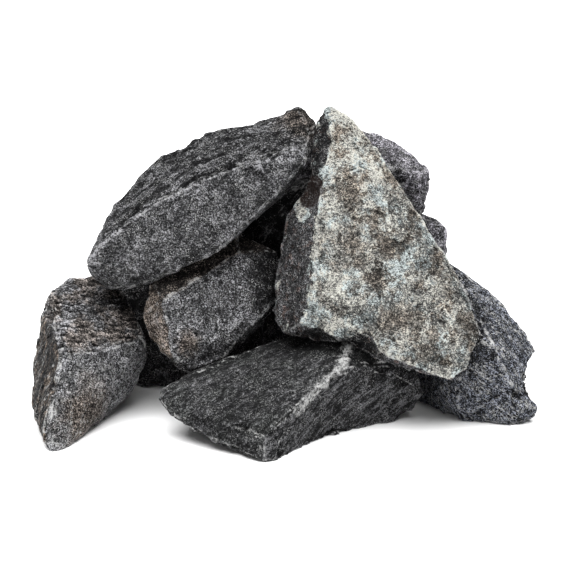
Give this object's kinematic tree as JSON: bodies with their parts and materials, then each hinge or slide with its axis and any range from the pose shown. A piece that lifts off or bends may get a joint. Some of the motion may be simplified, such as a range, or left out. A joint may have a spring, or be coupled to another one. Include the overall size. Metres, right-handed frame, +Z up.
{
  "type": "basalt stone heap",
  "caption": "Heap of loose, rough-broken basalt stones that stands on a flat surface; each stone lifts or draws off by itself.",
  "frame": {"origin": "on the surface that the heap stands on, under the middle of its bounding box", "axes": "+X along the heap's length, to the right as seen from the front; +Y to the back; +Z up"},
  "size_m": [0.2555, 0.1669, 0.1515],
  "materials": {
    "basalt": "rough broken, matte",
    "dark_basalt": "rough broken, matte",
    "blue_basalt": "rough broken, matte",
    "banded_basalt": "rough broken, matte, streaked",
    "grey_basalt": "rough broken, matte",
    "pale_crust": "rough weathered crust, matte, mottled"
  },
  "bodies": {
    "middle": {"middle_stone": "basalt"},
    "front": {"front_stone": "dark_basalt"},
    "left": {"left_stone": "banded_basalt"},
    "right": {"right_stone": "blue_basalt"},
    "rear_left": {"rear_left_stone": "basalt"},
    "rear_right": {"rear_right_stone": "basalt"},
    "right_shoulder": {"right_shoulder_stone": "grey_basalt"},
    "rear_bridge": {"rear_bridge_stone": "dark_basalt"},
    "rear_top": {"rear_top_stone": "grey_basalt"},
    "upper_left": {"upper_left_slab": "basalt"},
    "pale": {"pale_slab": "pale_crust"}
  },
  "joints": [
    {"name": "front_draw", "type": "slide", "parent": "middle", "child": "front", "axis": [0, -1, 0], "range_m": [0, 0.08]},
    {"name": "left_draw", "type": "slide", "parent": "middle", "child": "left", "axis": [-1, 0, 0], "range_m": [0, 0.06]},
    {"name": "right_draw", "type": "slide", "parent": "middle", "child": "right", "axis": [1, 0, 0], "range_m": [0, 0.06]},
    {"name": "rear_left_draw", "type": "slide", "parent": "middle", "child": "rear_left", "axis": [0, 1, 0], "range_m": [0, 0.08]},
    {"name": "rear_right_draw", "type": "slide", "parent": "middle", "child": "rear_right", "axis": [0.8, 0.6, 0], "range_m": [0, 0.08]},
    {"name": "right_shoulder_draw", "type": "slide", "parent": "middle", "child": "right_shoulder", "axis": [0.8, 0.6, 0], "range_m": [0, 0.085]},
    {"name": "rear_bridge_draw", "type": "slide", "parent": "middle", "child": "rear_bridge", "axis": [0, 1, 0], "range_m": [0, 0.06]},
    {"name": "rear_top_lift", "type": "slide", "parent": "middle", "child": "rear_top", "axis": [0.1001, 0.3505, 0.9312], "range_m": [0, 0.08]},
    {"name": "upper_left_lift", "type": "slide", "parent": "middle", "child": "upper_left", "axis": [-0.2, 0, 0.9798], "range_m": [0, 0.1]},
    {"name": "pale_lift", "type": "slide", "parent": "middle", "child": "pale", "axis": [0, -0.4983, 0.867], "range_m": [0, 0.15]}
  ]
}
